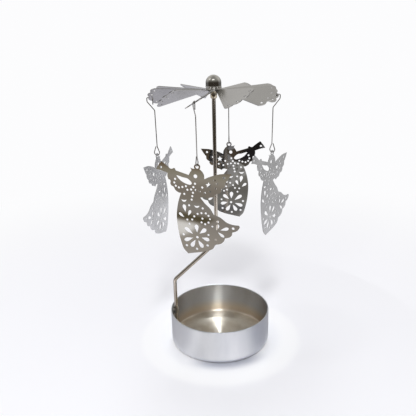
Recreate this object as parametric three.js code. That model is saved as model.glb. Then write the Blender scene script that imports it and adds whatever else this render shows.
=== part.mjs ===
// A turning tealight holder: a shallow metal cup, a bent wire post, and a vane wheel that balances
// on the post's point and carries four cut-out herald angels on thin wire hangers.
// Millimetres, +Z up. The origin is the centre of the cup's underside, and the front is -Y.
import * as THREE from 'three';

const DEG = Math.PI / 180;

// Driving sizes.
const cup = { radius: 31, height: 21, wall: 0.8, corner: 2 };
const post = {
  diameter: 2, wallClear: 1.3, axisX: -1.3, lowerBendZ: 40.4, upperBendZ: 65.2, bendRadius: 4,
  footGap: 0.5, pointLength: 3, pointRadius: 0.25,
};
const strap = { thickness: 0.6, height: 3, belowRim: 0.5, play: 0.25, foot: 1.5, wallGap: 0.3 };
const fan = {
  planeZ: 155.7, sheet: 0.4, blades: 10, firstAngle: 257.6 * DEG, hubRadius: 4.4,
  twist: 30 * DEG, droop: 5 * DEG, neckEnd: 8, neckHalfHub: 1.15, neckHalfEnd: 1.6,
  cornerX: 31.5, cornerY: 9.1, tipRise: 4.1, lobes: 4, lobeBulge: 1.1, holeRadius: 0.7, holeInset: 1.2,
};
const hub = { diameter: 3.8, length: 4.4, chamfer: 0.5, spigot: 3, spigotLength: 3, play: 0.3 };
const cap = { radius: 4.35, straight: 3.6, rim: 0.15, rimHeight: 1, boreDepth: 5.2 };
const seat = { thickness: 1.5, dimpleRadius: 0.95, dimpleFloor: 0.55, dimpleDepth: 0.8 };
const fit = { radial: 0.1, face: 0.05, point: 0.1 };
const wire = {
  diameter: 0.55, freeEnd: 3.4, overTop: 0.85, edgeClear: 0.35, inward: 0.8, turnIn: 6.6,
  hookBend: 0.5, shoulderBend: 1.2, loopRadius: 1.6, loopNeck: 5.1, loopOpen: 35 * DEG, endGap: 0.15,
};
const angel = { height: 50, sheet: 0.5, ringRadius: 1.7, ringHole: 0.9, ringZ: 119.5 };

// Which blade carries each hanger, and which way its angel faces (the trumpet-to-tail direction).
const hangers = [
  { name: 'front', blade: 0, facing: -17.7 * DEG },
  { name: 'left', blade: 8, facing: 252.3 * DEG },
  { name: 'rear', blade: 5, facing: 173.2 * DEG },
  { name: 'right', blade: 3, facing: 54.8 * DEG },
];

// The post's foot stands just inside the cup's wall, on the -X side.
const footX = -(cup.radius - cup.wall - post.wallClear - post.diameter / 2);

const FULL_TURN = 2 * Math.PI;
const ROUND_SIDES = 40;
const TURNED_SIDES = 24;

function steel(color, roughness) {
  return new THREE.MeshStandardMaterial({ color, roughness, metalness: 1 });
}

const satin = steel(0xc9ccd2, 0.4);
const bright = steel(0xb9b4aa, 0.15);
const sheet = steel(0xa8a6a6, 0.25);
const brass = steel(0xb08d4a, 0.3);

function turned(profile, sides = TURNED_SIDES) {
  const geometry = new THREE.LatheGeometry(profile.map(([r, z]) => new THREE.Vector2(r, z)), sides);
  return geometry.rotateX(Math.PI / 2);
}

function arc(cx, cy, radius, from, to, steps) {
  const points = [];
  for (let i = 0; i <= steps; i += 1) {
    const angle = from + ((to - from) * i) / steps;
    points.push([cx + radius * Math.cos(angle), cy + radius * Math.sin(angle)]);
  }
  return points;
}

function named(name, geometry, material) {
  const mesh = new THREE.Mesh(geometry, material);
  mesh.name = name;
  return mesh;
}

// A path through given points, with one step of a swept section from each point to the next.
class PointPath extends THREE.Curve {
  constructor(points) {
    super();
    this.points = points;
    this.steps = points.length - 1;
  }

  getPoint(t, target = new THREE.Vector3()) {
    const at = t * this.steps;
    const i = Math.min(Math.floor(at), this.steps - 1);
    return target.lerpVectors(this.points[i], this.points[i + 1], at - i);
  }

  getUtoTmapping(u) {
    return u;
  }
}

// Corner points become a bent wire's centre line: each inner corner is rounded to its own radius.
function bentLine(corners, steps = 4) {
  const line = [corners[0].at];
  for (let i = 1; i < corners.length - 1; i += 1) {
    const { at, radius } = corners[i];
    const back = corners[i - 1].at.clone().sub(at).normalize();
    const on = corners[i + 1].at.clone().sub(at).normalize();
    const half = back.angleTo(on) / 2;
    const reach = radius / Math.tan(half);
    const centre = back.clone().add(on).setLength(radius / Math.sin(half)).add(at);
    const start = at.clone().addScaledVector(back, reach).sub(centre);
    const end = at.clone().addScaledVector(on, reach).sub(centre);
    const sweep = start.angleTo(end);
    for (let j = 0; j <= steps; j += 1) {
      const a = Math.sin(((steps - j) * sweep) / steps) / Math.sin(sweep);
      const b = Math.sin((j * sweep) / steps) / Math.sin(sweep);
      line.push(centre.clone().addScaledVector(start, a).addScaledVector(end, b));
    }
  }
  line.push(corners[corners.length - 1].at);
  return line;
}

function roundBar(points, diameter, sides) {
  const section = new THREE.Shape(arc(0, 0, diameter / 2, 0, FULL_TURN, sides).slice(0, sides)
    .map(([x, y]) => new THREE.Vector2(x, y)));
  const path = new PointPath(points);
  return new THREE.ExtrudeGeometry(section, { steps: path.steps, extrudePath: path });
}

// A closed solid from flat-pattern faces: place(i, side) gives point i on the upper or lower face.
function sheetSolid(faces, place) {
  const positions = [];
  const edges = new Map();
  const push = (...corners) => corners.forEach(([i, side]) => positions.push(...place(i, side).toArray()));
  for (const [a, b, c] of faces) {
    push([a, 1], [b, 1], [c, 1]);
    push([a, -1], [c, -1], [b, -1]);
    for (const [from, to] of [[a, b], [b, c], [c, a]]) {
      const opposite = `${to}_${from}`;
      if (edges.has(opposite)) edges.delete(opposite);
      else edges.set(`${from}_${to}`, [from, to]);
    }
  }
  for (const [from, to] of edges.values()) {
    push([from, 1], [from, -1], [to, -1]);
    push([from, 1], [to, -1], [to, 1]);
  }
  const geometry = new THREE.BufferGeometry();
  geometry.setAttribute('position', new THREE.Float32BufferAttribute(positions, 3));
  geometry.computeVertexNormals();
  return geometry;
}

// Counter-clockwise triangles of an outline with holes, as indices into their points joined up.
function flatFaces(outline, holes) {
  const toVectors = (ring) => ring.map(([x, y]) => new THREE.Vector2(x, y));
  const rings = [outline, ...holes];
  const points = rings.flat();
  const faces = THREE.ShapeUtils.triangulateShape(toVectors(outline), holes.map(toVectors));
  const area = ([a, b, c]) => (points[b][0] - points[a][0]) * (points[c][1] - points[a][1])
    - (points[c][0] - points[a][0]) * (points[b][1] - points[a][1]);
  return { points, faces: faces.map((face) => (area(face) > 0 ? face : [face[0], face[2], face[1]])) };
}

function flatSheet(outline, holes, thickness) {
  const { points, faces } = flatFaces(outline, holes);
  return sheetSolid(faces, (i, side) => new THREE.Vector3(...points[i], (side * thickness) / 2));
}

// The drawn cup: a flat floor, a rounded corner and a straight wall with a rounded lip.
function cupGeometry() {
  const lip = cup.wall / 2;
  const cornerX = cup.radius - cup.corner;
  return turned([
    [0, 0],
    ...arc(cornerX, cup.corner, cup.corner, -Math.PI / 2, 0, 4),
    ...arc(cup.radius - lip, cup.height - lip, lip, 0, Math.PI, 4),
    ...arc(cornerX, cup.corner, cup.corner - cup.wall, 0, -Math.PI / 2, 4),
    [0, cup.wall],
  ], ROUND_SIDES);
}

// The bent post, its upper end ground to a slim cone with a blunted tip.
function postGeometry() {
  const footZ = cup.wall + post.footGap;
  const corners = [
    { at: new THREE.Vector3(footX, 0, footZ) },
    { at: new THREE.Vector3(footX, 0, post.lowerBendZ), radius: post.bendRadius },
    { at: new THREE.Vector3(post.axisX, 0, post.upperBendZ), radius: post.bendRadius },
    { at: new THREE.Vector3(post.axisX, 0, pointTopZ) },
  ];
  const line = bentLine(corners, 6);
  line.splice(-1, 0, new THREE.Vector3(post.axisX, 0, pointTopZ - post.pointLength));
  const bar = roundBar(line, post.diameter, 10);
  const place = bar.getAttribute('position');
  const taper = post.pointRadius / (post.diameter / 2);
  for (let i = 0; i < place.count; i += 1) {
    if (place.getZ(i) > pointTopZ - post.pointLength / 2) {
      place.setXY(i, post.axisX + (place.getX(i) - post.axisX) * taper, place.getY(i) * taper);
    }
  }
  bar.computeVertexNormals();
  return bar;
}

// A bridge welded inside the wall just under the lip: the post's foot slides down through it.
function strapGeometry() {
  const inside = post.diameter / 2 + strap.play;
  const outside = inside + strap.thickness;
  const footY = outside + strap.foot;
  const wallX = Math.sqrt((cup.radius - cup.wall) ** 2 - footY ** 2) - strap.wallGap;
  const back = -wallX - footX;
  const outline = [
    [back, -footY], [back + strap.thickness, -footY], [back + strap.thickness, -outside],
    ...arc(0, 0, outside, -Math.PI / 2, Math.PI / 2, 6),
    [back + strap.thickness, outside], [back + strap.thickness, footY], [back, footY],
    [back, inside],
    ...arc(0, 0, inside, Math.PI / 2, -Math.PI / 2, 6),
    [back, -inside],
  ];
  return flatSheet(outline, [], strap.height);
}

// Blade sizes are laid out flat along x from the axis, with y growing towards the trailing side.
function bladeFrame(angle, twist) {
  const radial = new THREE.Vector3(Math.cos(angle), Math.sin(angle), 0);
  const across = new THREE.Vector3(Math.sin(angle), -Math.cos(angle), 0);
  const up = new THREE.Vector3(0, 0, 1);
  const out = radial.clone().multiplyScalar(Math.cos(fan.droop)).addScaledVector(up, -Math.sin(fan.droop));
  const lift = up.clone().multiplyScalar(Math.cos(fan.droop)).addScaledVector(radial, Math.sin(fan.droop));
  return {
    radial,
    out,
    across: across.clone().multiplyScalar(Math.cos(twist)).addScaledVector(lift, -Math.sin(twist)),
    normal: lift.clone().multiplyScalar(Math.cos(twist)).addScaledVector(across, Math.sin(twist)),
  };
}

function bladePoint(angle, x, y, twist = fan.twist) {
  const frame = bladeFrame(angle, twist);
  return frame.radial.clone().multiplyScalar(fan.hubRadius)
    .addScaledVector(frame.out, x - fan.hubRadius)
    .addScaledVector(frame.across, y);
}

// The scalloped tip: lobes strung along one shallow arc, each a small bulge between two notches.
const tipRadius = (fan.cornerY ** 2 + fan.tipRise ** 2) / (2 * fan.tipRise);
const tipCentreX = fan.cornerX + fan.tipRise - tipRadius;
const tipHalfAngle = Math.asin(fan.cornerY / tipRadius);

function tipAt(share, beyond) {
  const angle = tipHalfAngle * (2 * share - 1);
  return [
    tipCentreX + (tipRadius + beyond) * Math.cos(angle),
    (tipRadius + beyond) * Math.sin(angle),
  ];
}

const lobeHoles = Array.from({ length: fan.lobes }, (_, i) => tipAt((i + 0.5) / fan.lobes, -fan.holeInset));
const hangerHole = lobeHoles[fan.lobes / 2];

function bladeOutline() {
  const points = [[fan.neckEnd, fan.neckHalfEnd], [fan.neckEnd, -fan.neckHalfEnd]];
  const steps = 4;
  for (let i = 0; i <= fan.lobes * steps; i += 1) {
    const phase = (i % steps) / steps;
    points.push(tipAt(i / (fan.lobes * steps), fan.lobeBulge * Math.sin(Math.PI * phase)));
  }
  return points;
}

function fanGeometry() {
  const places = [];
  const faces = [];
  const add = (angle, x, y, twist) => {
    places.push({ middle: bladePoint(angle, x, y, twist), normal: bladeFrame(angle, twist).normal });
    return places.length - 1;
  };
  const quad = (a, b, c, d) => faces.push([a, b, c], [a, c, d]);
  const half = Math.asin(fan.neckHalfHub / fan.hubRadius);
  const boreRadius = hub.spigot / 2 + fit.radial;
  const up = new THREE.Vector3(0, 0, 1);
  const ring = (radius, angle) => {
    places.push({ middle: new THREE.Vector3(radius * Math.cos(angle), radius * Math.sin(angle), 0), normal: up });
    return places.length - 1;
  };
  const rims = [];
  for (let k = 0; k < fan.blades; k += 1) {
    const angle = fan.firstAngle + (k * FULL_TURN) / fan.blades;
    rims.push([angle - half, angle + half].map((a) => [ring(fan.hubRadius, a), ring(boreRadius, a)]));
  }
  rims.forEach(([right, left], k) => {
    const angle = fan.firstAngle + (k * FULL_TURN) / fan.blades;
    const next = rims[(k + 1) % fan.blades][0];
    quad(right[1], right[0], left[0], left[1]);
    quad(left[1], left[0], next[0], next[1]);
    const midX = (fan.hubRadius + fan.neckEnd) / 2;
    const midHalf = (fan.neckHalfHub + fan.neckHalfEnd) / 2;
    const middle = [add(angle, midX, midHalf, fan.twist / 2), add(angle, midX, -midHalf, fan.twist / 2)];
    const holes = lobeHoles.map(([x, y]) => arc(x, y, fan.holeRadius, 0, FULL_TURN, 6).slice(0, 6));
    const flat = flatFaces(bladeOutline(), holes);
    const first = places.length;
    flat.points.forEach(([x, y]) => add(angle, x, y, fan.twist));
    quad(right[0], middle[0], middle[1], left[0]);
    quad(middle[0], first, first + 1, middle[1]);
    // y grows clockwise here, so the flat pattern's triangles turn over with it.
    flat.faces.forEach(([a, b, c]) => faces.push([first + a, first + c, first + b]));
  });
  return sheetSolid(faces, (i, side) => places[i].middle.clone()
    .addScaledVector(places[i].normal, (side * fan.sheet) / 2));
}

// The dome, its bore and the bearing seat at the bore's end; z is 0 at the cap's underside.
function capGeometry() {
  const bore = hub.spigot / 2 + fit.radial;
  return turned([
    [bore, 0], [cap.radius + cap.rim, 0], [cap.radius + cap.rim, cap.rimHeight],
    [cap.radius, cap.rimHeight + cap.rim],
    ...arc(0, cap.straight, cap.radius, 0, Math.PI / 2, 8),
    [0, cap.boreDepth], [bore, cap.boreDepth],
    [bore, 0],
  ]);
}

function seatGeometry() {
  const r = hub.spigot / 2;
  return turned([
    [0, seat.dimpleDepth], [seat.dimpleFloor, seat.dimpleDepth], [seat.dimpleRadius, 0],
    [r, 0], [r, seat.thickness], [0, seat.thickness],
  ]);
}

// z is 0 at the shoulder that the wheel sits on.
function sleeveGeometry() {
  const r = hub.diameter / 2;
  const bore = post.diameter / 2 + hub.play;
  const spigotTop = fan.sheet + 2 * fit.face + hub.spigotLength;
  return turned([
    [bore, -hub.length], [r - hub.chamfer, -hub.length], [r, hub.chamfer - hub.length], [r, 0],
    [hub.spigot / 2, 0], [hub.spigot / 2, spigotTop - fit.face], [bore, spigotTop - fit.face],
    [bore, -hub.length],
  ]);
}

const capZ = fan.planeZ + fan.sheet / 2 + fit.face;
const seatZ = capZ + cap.boreDepth - seat.thickness - fit.face;
const pointTopZ = seatZ + seat.dimpleDepth - fit.point;

// The hanger: a hook through the blade's hole and over its edge, a straight drop, a teardrop loop.
// Local x runs outwards along the blade, and the origin is the middle of the hole.
function hangerGeometry(loopAngle, drop) {
  const edgeX = (tipCentreX + tipRadius + fan.lobeBulge - hangerHole[0]) * Math.cos(fan.droop);
  const outX = edgeX + wire.edgeClear + wire.diameter / 2;
  const downX = -wire.inward;
  const across = new THREE.Vector3(Math.cos(loopAngle), Math.sin(loopAngle), 0);
  const loopCentreZ = -drop + wire.loopRadius;
  const loopPoint = (s, z) => new THREE.Vector3(downX, 0, z).addScaledVector(across, s);
  const hook = bentLine([
    { at: new THREE.Vector3(0, 0, -wire.freeEnd) },
    { at: new THREE.Vector3(0, 0, wire.overTop), radius: wire.hookBend },
    { at: new THREE.Vector3(outX, 0, wire.overTop / 2), radius: wire.hookBend },
    { at: new THREE.Vector3(outX, 0, -wire.freeEnd / 2), radius: wire.shoulderBend },
    { at: new THREE.Vector3(downX, 0, -wire.turnIn), radius: wire.shoulderBend },
    { at: loopPoint(wire.diameter / 2, wire.loopNeck - drop) },
  ]);
  const loop = arc(0, 0, wire.loopRadius, wire.loopOpen, -Math.PI - wire.loopOpen, 10)
    .map(([s, z]) => loopPoint(s, loopCentreZ + z));
  const end = loopPoint(-wire.diameter / 2 - wire.endGap, wire.loopNeck - drop);
  return roundBar([...hook, ...loop, end], wire.diameter, 6);
}

// The angel is drawn in shares of its height, from the middle of its ring: x towards the wing and
// the skirt's tail, y up.
const trumpetShares = [[-0.398, 0.036], [-0.462, -0.05], [-0.332, -0.084]];
const sleeveShares = [
  [-0.324, -0.15], [-0.3, -0.176], [-0.288, -0.222], [-0.256, -0.25], [-0.236, -0.27], [-0.212, -0.288],
  [-0.182, -0.292],
];
const skirtLeftShares = [[-0.198, -0.33], [-0.222, -0.41], [-0.238, -0.52], [-0.236, -0.62], [-0.22, -0.74],
  [-0.196, -0.84], [-0.168, -0.92], [-0.116, -0.976]];
const hemShares = [[-0.05, -0.956], [0.06, -0.93], [0.15, -0.9], [0.18, -0.87], [0.188, -0.838],
  [0.25, -0.822], [0.29, -0.786], [0.3, -0.752], [0.35, -0.736], [0.376, -0.71], [0.382, -0.676],
  [0.43, -0.656], [0.462, -0.616], [0.452, -0.594]];
const skirtRightShares = [[0.384, -0.592], [0.316, -0.572], [0.25, -0.526], [0.176, -0.5], [0.136, -0.436],
  [0.08, -0.386], [0.03, -0.326]];
const wingShares = [[0.08, -0.312], [0.104, -0.34], [0.14, -0.31], [0.176, -0.308], [0.2, -0.272],
  [0.24, -0.264], [0.258, -0.22], [0.29, -0.196], [0.3, -0.154], [0.33, -0.114], [0.368, -0.05],
  [0.26, -0.058], [0.18, -0.08], [0.12, -0.102], [0.066, -0.132], [0.02, -0.166]];
const hairShares = [[0.044, -0.152], [0.078, -0.124], [0.07, -0.084], [0.054, -0.05]];
const browShares = [[-0.036, -0.024], [-0.074, -0.012], [-0.062, -0.04], [-0.08, -0.066], [-0.09, -0.09]];
const tubeShares = [[-0.24, -0.052], [-0.26, -0.028], [-0.3, -0.034]];
const armGapShares = [[-0.23, -0.102], [-0.106, -0.13], [-0.062, -0.172], [-0.08, -0.196], [-0.13, -0.186],
  [-0.18, -0.162]];
// Round holes: x, y, radius.
const dotShares = [
  [-0.406, -0.026, 0.013], [-0.02, -0.1, 0.021],
  [-0.248, -0.144, 0.012], [-0.258, -0.184, 0.012], [-0.242, -0.218, 0.012], [-0.208, -0.234, 0.012],
  [-0.168, -0.226, 0.012], [-0.128, -0.214, 0.012], [-0.112, -0.252, 0.012], [-0.07, -0.246, 0.012],
  [-0.044, -0.218, 0.012], [-0.026, -0.18, 0.012], [-0.018, -0.248, 0.012], [-0.05, -0.28, 0.012],
  [-0.058, -0.318, 0.012], [-0.066, -0.356, 0.012], [0.024, -0.256, 0.012], [0.054, -0.214, 0.012],
  [0.08, -0.27, 0.012], [0.14, -0.252, 0.012], [0.2, -0.214, 0.012], [0.214, -0.162, 0.012],
  [0.188, -0.128, 0.012], [0.288, -0.096, 0.014],
  [-0.148, -0.3, 0.012], [-0.096, -0.422, 0.012], [0.056, -0.442, 0.012],
  [-0.12, -0.584, 0.012], [-0.096, -0.63, 0.012], [-0.064, -0.578, 0.012], [-0.04, -0.54, 0.012],
  [-0.002, -0.508, 0.012], [0.042, -0.496, 0.012], [0.09, -0.494, 0.012], [0.12, -0.518, 0.012],
  [0.052, -0.556, 0.012], [0.042, -0.6, 0.012], [0.082, -0.616, 0.012], [0.12, -0.594, 0.012],
  [0.136, -0.554, 0.01], [0.162, -0.634, 0.01],
  [-0.166, -0.758, 0.014], [-0.132, -0.882, 0.014], [-0.014, -0.91, 0.014], [0.108, -0.856, 0.014],
  [0.118, -0.734, 0.012], [-0.008, -0.774, 0.015],
  [0.22, -0.574, 0.014], [0.39, -0.632, 0.015], [0.2, -0.78, 0.013],
];
// Leaf-shaped holes: outer end, inner end, half width.
const leafShares = [
  [-0.154, -0.424, -0.14, -0.496, 0.019], [-0.082, -0.482, -0.106, -0.532, 0.014],
  [-0.21, -0.52, -0.158, -0.556, 0.014],
  [-0.018, -0.63, -0.014, -0.7, 0.019], [0.092, -0.672, 0.03, -0.718, 0.018],
  [0.128, -0.792, 0.056, -0.776, 0.018], [0.054, -0.888, 0.008, -0.82, 0.019],
  [-0.078, -0.892, -0.044, -0.82, 0.019], [-0.158, -0.824, -0.076, -0.79, 0.018],
  [-0.15, -0.68, -0.068, -0.734, 0.018],
  [0.226, -0.608, 0.21, -0.664, 0.014], [0.336, -0.64, 0.252, -0.664, 0.016],
  [0.288, -0.736, 0.224, -0.692, 0.014],
];
// Crescent holes: middle x and y of the outer curve's circle, radius.
const crescentShares = [[-0.154, -0.358, 0.03], [-0.01, -0.412, 0.03]];
const starShares = [0.124, -0.187, 0.034];
const starInnerShare = 0.5;
const crescentInnerShare = 0.35;
// A leaf from its outer end to its inner end: share of its length, share of its half width.
const leafOutlineShares = [[0, 0], [0.12, -0.75], [0.4, -1], [0.8, -0.5], [1, 0], [0.8, 0.5], [0.4, 1],
  [0.12, 0.75]];

function scaled(shares) {
  return shares.map(([x, y]) => [x * angel.height, y * angel.height]);
}

function disc([x, y, radius], sides) {
  return arc(x * angel.height, y * angel.height, radius * angel.height, 0, FULL_TURN, sides).slice(0, sides);
}

function leaf([x0, y0, x1, y1, half]) {
  const [[ax, ay], [bx, by]] = scaled([[x0, y0], [x1, y1]]);
  const length = Math.hypot(bx - ax, by - ay);
  const [dx, dy] = [(bx - ax) / length, (by - ay) / length];
  const width = half * angel.height;
  const side = (along, across) => [
    ax + dx * along * length - dy * across * width,
    ay + dy * along * length + dx * across * width,
  ];
  return leafOutlineShares.map(([along, across]) => side(along, across));
}

function crescent([x, y, radius]) {
  const [cx, cy, r] = [x, y, radius].map((value) => value * angel.height);
  const outer = arc(cx, cy, r, Math.PI, FULL_TURN, 5);
  const inner = arc(cx, cy, r, FULL_TURN, Math.PI, 5).slice(1, -1)
    .map(([px, py]) => [px, cy + (py - cy) * crescentInnerShare]);
  return [...outer, ...inner];
}

function star([x, y, radius]) {
  const points = [];
  for (let i = 0; i < 10; i += 1) {
    const reach = radius * angel.height * (i % 2 ? starInnerShare : 1);
    const angle = Math.PI / 2 + (i * Math.PI) / 5;
    points.push([x * angel.height + reach * Math.cos(angle), y * angel.height + reach * Math.sin(angle)]);
  }
  return points;
}

// The direction from a sheet's centre of mass back up to its ring, which hangs vertically.
function uprightAngle(outline, holes) {
  const { points, faces } = flatFaces(outline, holes);
  const centre = faces.reduce(([sumX, sumY], [a, b, c]) => {
    const [[ax, ay], [bx, by], [cx, cy]] = [points[a], points[b], points[c]];
    const area = (bx - ax) * (cy - ay) - (cx - ax) * (by - ay);
    return [sumX + area * (ax + bx + cx), sumY + area * (ay + by + cy)];
  }, [0, 0]);
  return Math.atan2(-centre[1], -centre[0]);
}

function angelGeometry() {
  const ring = arc(0, 0, angel.ringRadius, -0.25 * Math.PI, 1.25 * Math.PI, 8);
  const outline = [
    ...scaled(trumpetShares), ...scaled(sleeveShares), ...scaled(skirtLeftShares), ...scaled(hemShares),
    ...scaled(skirtRightShares), ...scaled(wingShares), ...scaled(hairShares), ...ring,
    ...scaled(browShares), ...scaled(tubeShares),
  ];
  const holes = [
    arc(0, 0, angel.ringHole, 0, FULL_TURN, 10).slice(0, 10),
    scaled(armGapShares), star(starShares),
    ...crescentShares.map(crescent), ...leafShares.map(leaf), ...dotShares.map((dot) => disc(dot, 6)),
  ];
  return flatSheet(outline, holes, angel.sheet)
    .rotateZ(Math.PI / 2 - uprightAngle(outline, holes))
    .rotateX(Math.PI / 2);
}

const object = new THREE.Group();

object.add(named('candle_cup', cupGeometry(), satin));

const bridge = named('post_strap', strapGeometry(), satin);
bridge.position.set(footX, 0, cup.height - strap.belowRim - strap.height / 2);
object.add(bridge);

object.add(named('post', postGeometry(), bright));

const spinner = new THREE.Group();
spinner.position.x = post.axisX;
object.add(spinner);

const wheel = named('fan', fanGeometry(), sheet);
wheel.position.z = fan.planeZ;
const dome = named('dome_cap', capGeometry(), bright);
dome.position.z = capZ;
const bearing = named('pivot_seat', seatGeometry(), brass);
bearing.position.z = seatZ;
const sleeve = named('hub_sleeve', sleeveGeometry(), bright);
sleeve.position.z = fan.planeZ - fan.sheet / 2 - fit.face;
spinner.add(wheel, dome, bearing, sleeve);

for (const { name, blade, facing } of hangers) {
  const angle = fan.firstAngle + (blade * FULL_TURN) / fan.blades;
  const hole = bladePoint(angle, ...hangerHole);
  const grip = angel.ringHole * Math.cos(Math.PI / 10) - wire.diameter / 2 - fit.radial;
  const loopZ = angel.ringZ + grip;
  const drop = fan.planeZ + hole.z - loopZ;
  const hanger = named(`hanger_${name}`, hangerGeometry(facing + Math.PI / 2 - angle, drop), bright);
  hanger.position.set(hole.x, hole.y, fan.planeZ + hole.z);
  hanger.rotation.z = angle;
  const figure = named(`angel_${name}`, angelGeometry(), sheet);
  figure.position.set(
    hole.x - wire.inward * Math.cos(angle),
    hole.y - wire.inward * Math.sin(angle),
    angel.ringZ,
  );
  figure.rotation.z = facing;
  spinner.add(hanger, figure);
}

export default object;
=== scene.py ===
import math

import bpy
import numpy as np
from mathutils import Matrix, Vector
from mathutils.geometry import delaunay_2d_cdt


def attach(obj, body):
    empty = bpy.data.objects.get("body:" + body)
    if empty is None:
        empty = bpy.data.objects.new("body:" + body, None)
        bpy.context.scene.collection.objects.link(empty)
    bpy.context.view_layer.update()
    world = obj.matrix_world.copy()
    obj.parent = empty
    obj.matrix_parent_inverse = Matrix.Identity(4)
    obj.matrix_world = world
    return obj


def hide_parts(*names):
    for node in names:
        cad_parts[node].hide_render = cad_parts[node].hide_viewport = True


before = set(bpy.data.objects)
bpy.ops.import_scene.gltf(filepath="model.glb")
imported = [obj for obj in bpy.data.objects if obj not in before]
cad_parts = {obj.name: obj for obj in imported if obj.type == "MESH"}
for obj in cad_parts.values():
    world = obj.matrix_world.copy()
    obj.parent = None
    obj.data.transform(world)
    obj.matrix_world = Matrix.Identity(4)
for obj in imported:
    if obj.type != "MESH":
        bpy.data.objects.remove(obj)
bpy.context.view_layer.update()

MM = 0.001
DEG = math.pi / 180
TURN = 2 * math.pi
NEAR = 1e-6

# Sizes in millimetres. They are those of the solids, but for the post (1.0 in the solids), the figures'
# sheet (0.5), the dome's rolled rim and the petals cut in the figures, which are a little larger here.
CUP = dict(radius=31.0, height=21.0, wall=0.8, corner=2.0)
# Rows of points this far from the cup's bends, and the last two from its axis, shade its flats evenly.
CUP_ROWS = dict(under=(6, 3, 1), over_corner=4, under_lip=1, floor=(0.8, 3), floor_middle=(12, 6))
POST = dict(radius=1.1, foot_x=-27.9, axis_x=-1.3, foot_z=1.3, lower_z=40.4, upper_z=65.2, bend=4.0,
            shoulder_z=157.35, top_z=160.3, tip_radius=0.25)
FAN = dict(plane_z=155.7, sheet=0.4, blades=10, first=257.6 * DEG, hub=4.4, bore=1.6, twist=30 * DEG,
           droop=5 * DEG, neck_end=8.0, neck_hub=1.15, neck_half=1.6, corner_x=31.5, corner_y=9.1,
           tip_rise=4.1, lobes=4, bulge=1.1, hole=0.7, inset=1.2)
CAP = dict(radius=4.35, straight=3.6, row=0.1, base_z=155.95, bore=1.6, roof=5.2)
# The dome's rim: distance out from its wall, and height over its base. It is rolled, so its lower half
# faces the table.
CAP_RIM = [(-0.32, 0), (-0.25, 0.06), (0.11, 1.54), (0.15, 1.6275), (0.13, 1.6975), (0.075, 1.75),
           (0, 1.81), (0, 1.91)]
SLEEVE = dict(radius=1.9, bore=1.3, length=4.4, edge=0.15, neck_radius=1.5, neck=3.45, top_z=155.45)
# The rounding of the sleeve's lower end: distance in from its side, and height over that end.
SLEEVE_FOOT = [(0.5, 0), (0.1, 0.4), (0, 0.6)]
WIRE = dict(radius=0.275, free_end=3.4, over_top=0.85, edge_clear=0.35, inward=0.8, turn_in=6.6,
            hook_bend=0.5, shoulder_bend=1.2, loop_radius=1.6, loop_neck=5.1, loop_open=35 * DEG,
            end_gap=0.15, grip=0.48)
ANGEL = dict(height=50.0, sheet=0.3, ring=1.7, ring_hole=0.9, ring_ends=(-45 * DEG, 225 * DEG), ring_z=119.5)
# Each hanger: its name, the number of its blade and the way its figure faces.
HANGERS = [
    ("front", 0, -17.7 * DEG),
    ("left", 8, 252.3 * DEG),
    ("rear", 5, 173.2 * DEG),
    ("right", 3, 54.8 * DEG),
]
# The ends of a bar are rounded by this share of its radius.
BAR_END = 0.35

# The camera, fitted to the rim and foot circles of the cup in the photograph.
CAMERA = dict(place=(0.0, -270.5, 173.2), yaw=-1.264 * DEG, pitch=17.646 * DEG, roll=-1.374 * DEG,
              lens=41.09, sensor=36.0)


def make_camera():
    yaw, pitch, roll = CAMERA["yaw"], CAMERA["pitch"], CAMERA["roll"]
    forward = Vector((math.sin(yaw) * math.cos(pitch), math.cos(yaw) * math.cos(pitch), -math.sin(pitch)))
    level = Vector((math.cos(yaw), -math.sin(yaw), 0))
    up = level.cross(forward)
    right = level * math.cos(roll) + up * math.sin(roll)
    top = up * math.cos(roll) - level * math.sin(roll)
    data = bpy.data.cameras.new("camera")
    data.lens = CAMERA["lens"]
    data.sensor_width = CAMERA["sensor"]
    data.sensor_fit = "HORIZONTAL"
    data.clip_start = 0.005
    data.clip_end = 20
    camera = bpy.data.objects.new("camera", data)
    turn = Matrix((right, top, -forward)).transposed().to_4x4()
    camera.matrix_world = Matrix.Translation(Vector(CAMERA["place"]) * MM) @ turn
    bpy.context.scene.collection.objects.link(camera)
    bpy.context.scene.camera = camera


# Shader nodes

def rgba(color):
    return (*color, 1)


def feed(tree, socket, value):
    """Links an output to an input, or sets the input to a fixed value."""
    if isinstance(value, bpy.types.NodeSocket):
        tree.links.new(value, socket)
    else:
        socket.default_value = value


def add_node(tree, kind, inputs):
    """Adds a node, with its inputs given by name or number."""
    node = tree.nodes.new(kind)
    for key, value in inputs.items():
        feed(tree, node.inputs[key], value)
    return node


def operation_node(tree, kind, operation, values):
    node = tree.nodes.new(kind)
    node.operation = operation
    for socket, value in zip(node.inputs, values):
        feed(tree, socket, value)
    return node.outputs


def math_node(tree, operation, *values):
    return operation_node(tree, "ShaderNodeMath", operation, values)[0]


def vector_node(tree, operation, *values):
    return operation_node(tree, "ShaderNodeVectorMath", operation, values)


def own_place(tree):
    """The place on a piece, in metres in the piece's own frame."""
    return tree.nodes.new("ShaderNodeTexCoord").outputs["Object"]


def axes_of(tree, vector):
    return add_node(tree, "ShaderNodeSeparateXYZ", {"Vector": vector}).outputs


def noise(tree, place, scale, detail, stretch=None):
    """Soft noise over a piece, with more or fewer ripples along each axis where it is stretched."""
    if stretch:
        place = add_node(tree, "ShaderNodeMapping", {"Vector": place, "Scale": stretch}).outputs["Vector"]
    inputs = {"Vector": place, "Scale": scale, "Detail": detail}
    return add_node(tree, "ShaderNodeTexNoise", inputs).outputs["Fac"]


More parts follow.
